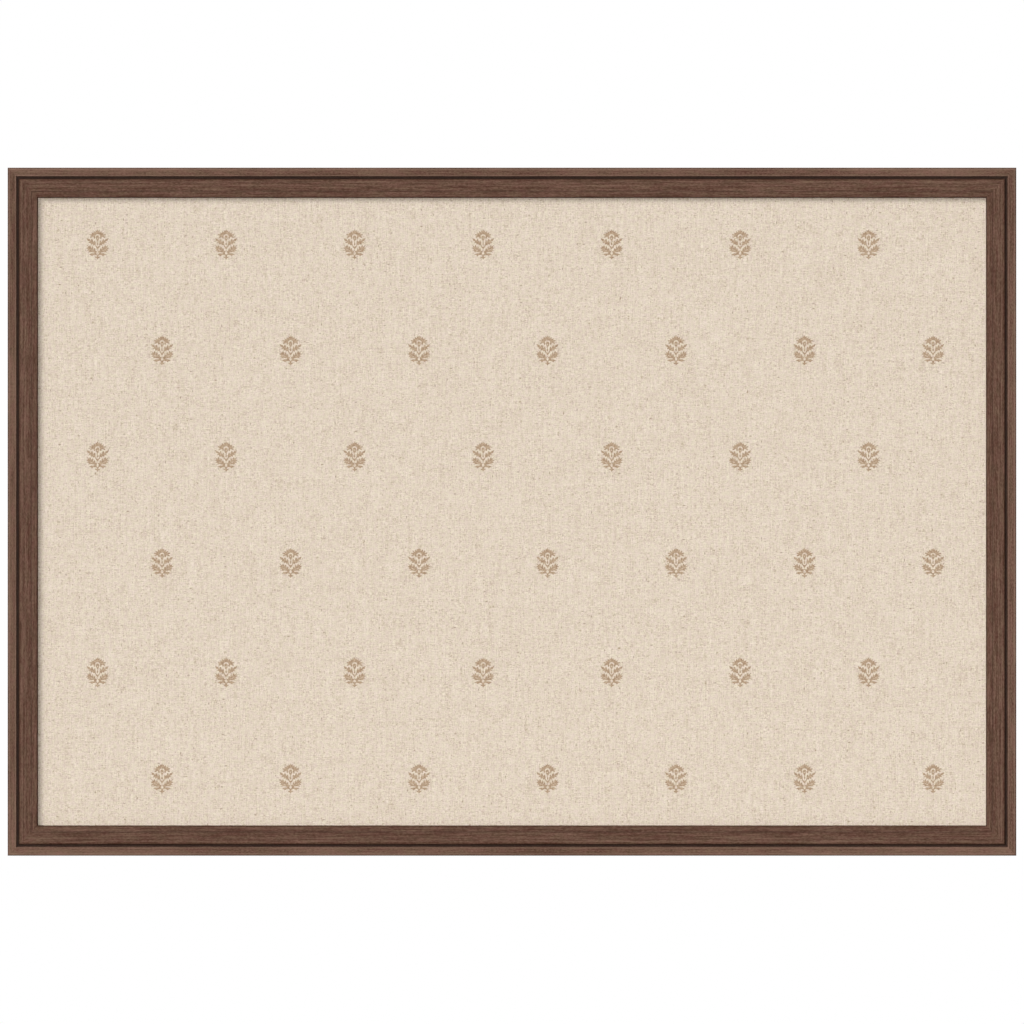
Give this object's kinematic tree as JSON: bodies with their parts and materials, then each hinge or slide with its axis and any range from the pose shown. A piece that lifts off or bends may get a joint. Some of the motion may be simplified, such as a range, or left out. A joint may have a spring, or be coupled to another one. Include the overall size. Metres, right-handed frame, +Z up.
{
  "type": "pin board",
  "caption": "Wall-hung pin board: mitred moulded wood frame round a linen-covered cork panel, with a hardboard back, D-ring hangers and rubber bumpers.",
  "frame": {"origin": "centre of the whole board's box: midway along its width and height, and midway between the front of the moulding and the wall plane that the bumpers touch", "axes": "+X to the right as seen from the front, along the width; +Z up; +Y from the linen face towards the wall"},
  "size_m": [0.9588, 0.0336, 0.6542],
  "materials": {
    "walnut_stain": "walnut-stained wood, low-sheen lacquer, straight grain along each rail",
    "linen": "natural linen, plain weave, block-printed in tan with a small flower sprig",
    "cork": "raw agglomerated cork",
    "fibreboard": "raw soft fibreboard",
    "hardboard": "brown hardboard, smooth face out",
    "plated_steel": "bright zinc plate",
    "spring_steel": "plain rolled steel",
    "rubber": "matt black"
  },
  "bodies": {
    "board": {"backing_board": "hardboard", "bottom_rail": "walnut_stain", "bumper_left": "rubber", "bumper_right": "rubber", "cork_sheet": "cork", "corner_nail_bottom_left_inner": "spring_steel", "corner_nail_bottom_left_outer": "spring_steel", "corner_nail_bottom_right_inner": "spring_steel", "corner_nail_bottom_right_outer": "spring_steel", "corner_nail_top_left_inner": "spring_steel", "corner_nail_top_left_outer": "spring_steel", "corner_nail_top_right_inner": "spring_steel", "corner_nail_top_right_outer": "spring_steel", "fibreboard_core": "fibreboard", "framing_point_bottom_1": "spring_steel", "framing_point_bottom_2": "spring_steel", "framing_point_bottom_3": "spring_steel", "framing_point_bottom_4": "spring_steel", "framing_point_bottom_5": "spring_steel", "framing_point_left_1": "spring_steel", "framing_point_left_2": "spring_steel", "framing_point_left_3": "spring_steel", "framing_point_right_1": "spring_steel", "framing_point_right_2": "spring_steel", "framing_point_right_3": "spring_steel", "framing_point_top_1": "spring_steel", "framing_point_top_2": "spring_steel", "framing_point_top_3": "spring_steel", "framing_point_top_4": "spring_steel", "framing_point_top_5": "spring_steel", "hanger_screw_left_lower": "plated_steel", "hanger_screw_left_upper": "plated_steel", "hanger_screw_right_lower": "plated_steel", "hanger_screw_right_upper": "plated_steel", "hanger_strap_left": "plated_steel", "hanger_strap_right": "plated_steel", "left_rail": "walnut_stain", "linen_cover": "linen", "right_rail": "walnut_stain", "staple_bottom_1": "plated_steel", "staple_bottom_2": "plated_steel", "staple_bottom_3": "plated_steel", "staple_bottom_4": "plated_steel", "staple_bottom_5": "plated_steel", "staple_left_1": "plated_steel", "staple_left_2": "plated_steel", "staple_left_3": "plated_steel", "staple_right_1": "plated_steel", "staple_right_2": "plated_steel", "staple_right_3": "plated_steel", "staple_top_1": "plated_steel", "staple_top_2": "plated_steel", "staple_top_3": "plated_steel", "staple_top_4": "plated_steel", "staple_top_5": "plated_steel", "top_rail": "walnut_stain"},
    "ring_left": {"d_ring_left": "plated_steel"},
    "ring_right": {"d_ring_right": "plated_steel"}
  },
  "joints": [
    {"name": "ring_left_swing", "type": "hinge", "parent": "board", "child": "ring_left", "pos_m": [-0.46873, 0.01415, 0.16353], "axis": [1, 0, 0], "range_deg": [0, 180]},
    {"name": "ring_right_swing", "type": "hinge", "parent": "board", "child": "ring_right", "pos_m": [0.46873, 0.01415, 0.16353], "axis": [1, 0, 0], "range_deg": [0, 180]}
  ]
}
